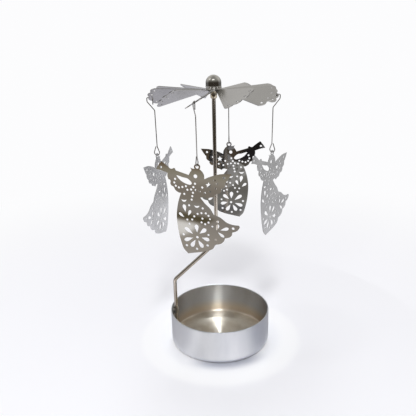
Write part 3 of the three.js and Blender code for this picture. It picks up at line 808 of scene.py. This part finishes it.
# Tones of the table top in front, from far to near: distance in millimetres, then the colour. On the
# left it has a dark and a bright stripe, and going right each ends between two places.
FRONT_LEFT = [
    (-660, 0.05, 0.04, 0.03), (-500, 0.13, 0.1, 0.07), (-453, 0.24, 0.17, 0.11), (-434, 0.27, 0.2, 0.13),
    (-422, 0.44, 0.39, 0.3), (-400, 0.47, 0.43, 0.34), (-380, 0.52, 0.47, 0.4), (-357, 0.42, 0.37, 0.31),
    (-333, 0.38, 0.33, 0.28), (-298, 0.39, 0.345, 0.29), (-283, 0.46, 0.43, 0.39), (-256, 0.43, 0.39, 0.35),
    (-183, 0.56, 0.51, 0.45), (-168, 0.55, 0.5, 0.44), (-130, 0.85, 0.84, 0.84),
]
DARK_STRIPE = [
    (-251, 0.34, 0.29, 0.23), (-247, 0.13, 0.11, 0.05), (-235, 0.14, 0.11, 0.055), (-230, 0.38, 0.33, 0.27),
]
DARK_END = (-162, -150)
BRIGHT_STRIPE = [
    (-228, 0.8, 0.76, 0.7), (-222, 1.25, 1.22, 1.18), (-197, 1.2, 1.17, 1.13), (-187, 0.6, 0.56, 0.5),
]
BRIGHT_END = (-36, -16)
FRONT_MIDDLE = [
    (-660, 0.02, 0.018, 0.016), (-480, 0.025, 0.022, 0.025), (-440, 0.15, 0.13, 0.11),
    (-411, 0.16, 0.15, 0.14), (-390, 0.4, 0.38, 0.36), (-344, 0.31, 0.3, 0.27), (-278, 0.24, 0.23, 0.21),
    (-225, 0.34, 0.33, 0.31), (-205, 0.2, 0.2, 0.21), (-180, 0.25, 0.24, 0.23), (-140, 0.6, 0.59, 0.6),
]
FRONT_RIGHT = [
    (-660, 0.05, 0.04, 0.03), (-330, 0.05, 0.045, 0.04), (-290, 0.14, 0.12, 0.1),
    (-262, 0.5, 0.48, 0.45), (-240, 0.8, 0.79, 0.78), (-130, 0.85, 0.84, 0.84),
]
FRONT_FAR_RIGHT = (1.3, 1.3, 1.34)
# Where one set of tones gives way to the next, and how far to the right and back the last one starts.
LEFT_TO_MIDDLE = (-105, -85)
MIDDLE_TO_RIGHT = (-30, -15)
FAR_RIGHT_X = (85, 110)
FAR_RIGHT_Y = (-360, -320)
FRONT_TO_SIDE = (-130, -50)
# Tones of the table at the sides and behind, from left to right along a line aslant.
TABLE_SIDE = [
    (-900, 0.6, 0.61, 0.65), (-110, 0.62, 0.62, 0.67), (-70, 0.62, 0.62, 0.66), (-25, 1.05, 1.04, 1.02),
    (44, 1.18, 1.18, 1.22), (64, 1.4, 1.4, 1.45), (110, 1.2, 1.2, 1.23), (170, 0.62, 0.61, 0.61),
    (244, 0.66, 0.65, 0.64), (300, 0.62, 0.61, 0.59), (570, 0.58, 0.57, 0.55), (900, 0.7, 0.7, 0.7),
]
ASLANT = -0.6
# Painted reflection: tones of light and shade on the table close round the cup, as its wall mirrors them:
# angle from the front in degrees, left to right.
NEAR_ROUND = [
    (-180, 0.6, 0.6, 0.66), (-150, 0.6, 0.6, 0.66), (-110, 0.48, 0.48, 0.51), (-75, 0.56, 0.56, 0.59),
    (-57, 0.68, 0.68, 0.71), (-42, 0.93, 0.93, 0.95), (-27, 0.76, 0.76, 0.78), (-12, 0.86, 0.86, 0.88),
    (2, 1.03, 1.03, 1.05), (16, 1.05, 1.05, 1.08), (31, 0.92, 0.92, 0.96), (46, 0.73, 0.74, 0.78),
    (62, 0.54, 0.55, 0.6), (80, 0.48, 0.49, 0.53), (130, 0.5, 0.5, 0.53), (150, 0.6, 0.6, 0.66),
    (180, 0.6, 0.6, 0.66),
]
# Tones of the room by height angle in degrees, in front of the table and behind it.
ROOM_FRONT = [
    (-30, 0.03, 0.025, 0.02), (3, 0.045, 0.038, 0.03), (14, 0.07, 0.065, 0.055), (26, 0.17, 0.165, 0.15),
    (40, 0.32, 0.32, 0.3), (62, 0.34, 0.34, 0.33), (90, 0.3, 0.3, 0.29),
]
ROOM_BACK = [
    (-30, 0.15, 0.15, 0.15), (3, 0.15, 0.15, 0.15), (16, 0.4, 0.4, 0.4), (34, 0.7, 0.69, 0.67),
    (62, 0.6, 0.59, 0.565), (80, 0.34, 0.34, 0.33), (90, 0.3, 0.3, 0.29),
]
# The room is a dome from this many degrees below the table's level. Its front gives way to its back over
# this span of the direction's share along Y.
ROOM = dict(radius=1900, lowest=-20 * DEG, rows=24, sides=48, front_to_back=(-0.45, 0.25))
# Windows: name, turn from the front to the right, height angle, width, height and strength.
WINDOW_DISTANCE = 1300
WINDOWS = [
    ("window", -3 * DEG, 53 * DEG, 640, 340, 1.65),
    ("side_window", -78 * DEG, 50 * DEG, 420, 420, 1.1),
]
# Lamps: places and sizes in metres, power in watts. Those with a cone are narrow spotlights, in front and
# behind, that reach the inside of the cup alone.
LAMPS = [
    dict(name="overhead", place=(-0.06, 0.3, 0.95), target=(0, 0, 0.03), size=0.45, power=1.9),
    dict(name="front", place=(0, -0.46, 0.7), target=(0, 0, 0.05), size=0.12, power=2.2),
    dict(name="front_spot", place=(0.05, -0.6, 0.5), target=(0, 0.006, 0.006), size=0.05, power=16.0,
         cone=3.9 * DEG, color=(0.86, 0.93, 1)),
    dict(name="back", place=(0.045, 0.43, 0.91), target=(0, 0.008, 0.001), size=0.075, power=16.0,
         cone=3.4 * DEG, color=(0.85, 0.93, 1)),
    dict(name="low_left", place=(-0.75, -0.06, 0.27), target=(0, 0, 0.02), size=0.06, power=0.7),
]
CONE_BLEND = 0.25


def tone_ramp(tree, value, stops, scale):
    """A colour ramp over a value, from rows of place and colour."""
    low, high = stops[0][0], stops[-1][0]
    reach = add_node(tree, "ShaderNodeMapRange", {
        "Value": value,
        "From Min": low * scale,
        "From Max": high * scale,
    })
    ramp = add_node(tree, "ShaderNodeValToRGB", {"Fac": reach.outputs["Result"]})
    steps = ramp.color_ramp.elements
    while len(steps) < len(stops):
        # Its own place is set below.
        steps.new(0.5)
    for step, (place, *color) in zip(steps, stops):
        step.position = (place - low) / (high - low)
        step.color = rgba(color)
    return ramp.outputs["Color"]


def glow_material(name):
    """A material that only glows, with its node tree and the inputs of its glow."""
    material, tree, shader = new_material(name)
    tree.nodes.remove(shader)
    glow = tree.nodes.new("ShaderNodeEmission")
    tree.links.new(glow.outputs["Emission"], tree.nodes["Material Output"].inputs["Surface"])
    return material, tree, glow.inputs


def mirrored_only(piece):
    """Makes a stage piece that the metal shows and that lights nothing else."""
    piece.visible_camera = False
    piece.visible_diffuse = False
    piece.visible_shadow = False


def add_flat_ring(name, material, inner, outer, height):
    """A level ring round the cup's axis, which only the metal shows."""
    n = RING_SIDES
    points = [(x, y, height) for radius in (inner, outer) for x, y in ring(0, 0, radius, n)]
    faces = [(i, i + n, (i + 1) % n + n, (i + 1) % n) for i in range(n)]
    mirrored_only(add_mesh(name, points, faces, material))


def add_floor():
    left, right, front, back = (FLOOR[side] for side in ("left", "right", "front", "back"))
    corners = [(left, front, 0), (right, front, 0), (right, back, 0), (left, back, 0)]
    material, tree, shader = new_material("floor")
    shader.inputs["Roughness"].default_value = FLOOR["roughness"]
    shader.inputs["Specular IOR Level"].default_value = FLOOR["gloss"]
    place = own_place(tree)
    distance = vector_node(tree, "LENGTH", place)["Value"]
    way = vector_node(tree, "NORMALIZE", place)["Vector"]
    facing = vector_node(tree, "DOT_PRODUCT", way, FOOT_SHADE["toward"])["Value"]
    # Painted shade: the floor's colour darkens at the cup's foot.
    shade = math_node(tree, "MULTIPLY", step_between(tree, distance, FOOT_SHADE["reach"], MM),
                      step_between(tree, facing, FOOT_SHADE["spread"]))
    tone = blend_colors(tree, shade, rgba(FLOOR["color"]), rgba(FOOT_SHADE["color"]))
    tree.links.new(tone, shader.inputs["Base Color"])
    # Painted light: a glowing pale ring round the cup's foot.
    halo = math_node(tree, "MULTIPLY", step_between(tree, distance, LIGHT_RING["inner"], MM),
                     step_between(tree, distance, LIGHT_RING["outer"], MM))
    halo = math_node(tree, "MULTIPLY", halo, LIGHT_RING["strength"])
    pale = math_node(tree, "MAXIMUM", halo, step_between(tree, distance, FLOOR_FADE, MM))
    share = math_node(tree, "MULTIPLY", pale, seen_directly(tree))
    glow = add_node(tree, "ShaderNodeEmission", {"Color": rgba(PALE)})
    mix = add_node(tree, "ShaderNodeMixShader", {
        "Fac": share,
        1: shader.outputs["BSDF"],
        2: glow.outputs["Emission"],
    })
    tree.links.new(mix.outputs["Shader"], tree.nodes["Material Output"].inputs["Surface"])
    floor = add_mesh("floor", corners, [(0, 1, 2, 3)], material)


def add_world():
    world = bpy.data.worlds.new("world")
    bpy.context.scene.world = world
    world.use_nodes = True
    tree = world.node_tree
    color = blend_colors(tree, seen_directly(tree), rgba(WORLD_LIGHT), rgba(PALE))
    tree.links.new(color, tree.nodes["Background"].inputs["Color"])


def add_table_tones():
    """A glowing ring, the painted reflection of the table top beyond the holder's own shadow, as the metal
    mirrors it.
    """
    material, tree, glow = glow_material("table_tones")
    x, y, _ = axes_of(tree, own_place(tree))
    aslant = math_node(tree, "MULTIPLY_ADD", y, ASLANT, x)

    def tones(value, stops):
        return tone_ramp(tree, value, sorted(stops), MM)

    def give_way(value, span, a, b):
        return blend_colors(tree, step_between(tree, value, span, MM), a, b)

    left = give_way(aslant, BRIGHT_END, tones(y, FRONT_LEFT + DARK_STRIPE + BRIGHT_STRIPE),
                    tones(y, FRONT_LEFT + DARK_STRIPE))
    left = give_way(x, DARK_END, left, tones(y, FRONT_LEFT))
    front = give_way(x, LEFT_TO_MIDDLE, left, tones(y, FRONT_MIDDLE))
    front = give_way(x, MIDDLE_TO_RIGHT, front, tones(y, FRONT_RIGHT))
    corner = math_node(tree, "MULTIPLY", step_between(tree, x, FAR_RIGHT_X, MM),
                       step_between(tree, y, FAR_RIGHT_Y, MM))
    front = blend_colors(tree, corner, front, rgba(FRONT_FAR_RIGHT))
    feed(tree, glow["Color"], give_way(y, FRONT_TO_SIDE, front, tones(aslant, TABLE_SIDE)))
    add_flat_ring("table_tones", material, **TABLE)


def add_near_round():
    """A glowing ring, the painted reflection of the light and shade on the table close round the cup, as its
    wall mirrors it.
    """
    material, tree, glow = glow_material("near_round")
    x, y, _ = axes_of(tree, own_place(tree))
    angle = math_node(tree, "ARCTAN2", x, math_node(tree, "MULTIPLY", y, -1.0))
    feed(tree, glow["Color"], tone_ramp(tree, angle, NEAR_ROUND, DEG))
    add_flat_ring("near_round", material, **NEAR_TABLE)


def add_room():
    radius, rows, sides = ROOM["radius"], ROOM["rows"], ROOM["sides"]
    points = []
    for row in range(rows + 1):
        tilt = ROOM["lowest"] + (math.pi / 2 - ROOM["lowest"]) * row / rows
        points += [(x, y, radius * math.sin(tilt)) for x, y in ring(0, 0, radius * math.cos(tilt), sides)]
    faces = [(row * sides + i, row * sides + (i + 1) % sides, (row + 1) * sides + (i + 1) % sides,
              (row + 1) * sides + i) for row in range(rows) for i in range(sides)]
    material, tree, glow = glow_material("room")
    way = axes_of(tree, vector_node(tree, "NORMALIZE", own_place(tree))["Vector"])
    tilt = math_node(tree, "ARCSINE", way["Z"])
    behind = step_between(tree, way["Y"], ROOM["front_to_back"])
    front, back = (tone_ramp(tree, tilt, stops, DEG) for stops in (ROOM_FRONT, ROOM_BACK))
    feed(tree, glow["Color"], blend_colors(tree, behind, front, back))
    mirrored_only(add_mesh("room", points, faces, material))


def add_window(name, turn, tilt, width, height, strength):
    """A bright window high up, square to the way to it, which only the metal shows."""
    way = Vector((math.sin(turn) * math.cos(tilt), -math.cos(turn) * math.cos(tilt), math.sin(tilt)))
    middle = way * WINDOW_DISTANCE
    side = Vector((math.cos(turn), math.sin(turn), 0)) * (width / 2)
    up = middle.cross(side).normalized() * (height / 2)
    material, tree, glow = glow_material(name)
    feed(tree, glow["Strength"], strength)
    corners = [middle - side - up, middle + side - up, middle + side + up, middle - side + up]
    mirrored_only(add_mesh(name, corners, [(0, 1, 2, 3)], material))


def add_lamp(name, place, target, size, power, cone=None, color=(1, 1, 1)):
    """A round lamp that the metal doesn't mirror or, with a cone, a spotlight that it does."""
    data = bpy.data.lights.new(name, "SPOT" if cone else "AREA")
    if cone:
        data.shadow_soft_size = size / 2
        data.spot_size = cone
        data.spot_blend = CONE_BLEND
    else:
        data.shape = "DISK"
        data.size = size
    data.energy = power
    data.color = color
    lamp = bpy.data.objects.new(name, data)
    lamp.location = place
    lamp.rotation_euler = (Vector(target) - Vector(place)).to_track_quat("-Z", "Y").to_euler()
    lamp.visible_glossy = bool(cone)
    bpy.context.scene.collection.objects.link(lamp)


make_camera()
make_cup()
make_post()
make_fan()
make_hub()
for name, blade, facing in HANGERS:
    make_angel(name, facing, make_hanger(name, blade, facing))
# These two solids stay as they are and only get their metal.
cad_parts["post_strap"].data.materials[0] = strap_steel
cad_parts["pivot_seat"].data.materials[0] = seat_brass
add_floor()
add_world()
add_table_tones()
add_near_round()
add_room()
for window in WINDOWS:
    add_window(*window)
for lamp in LAMPS:
    add_lamp(**lamp)
bpy.context.scene.view_settings.view_transform = "Standard"
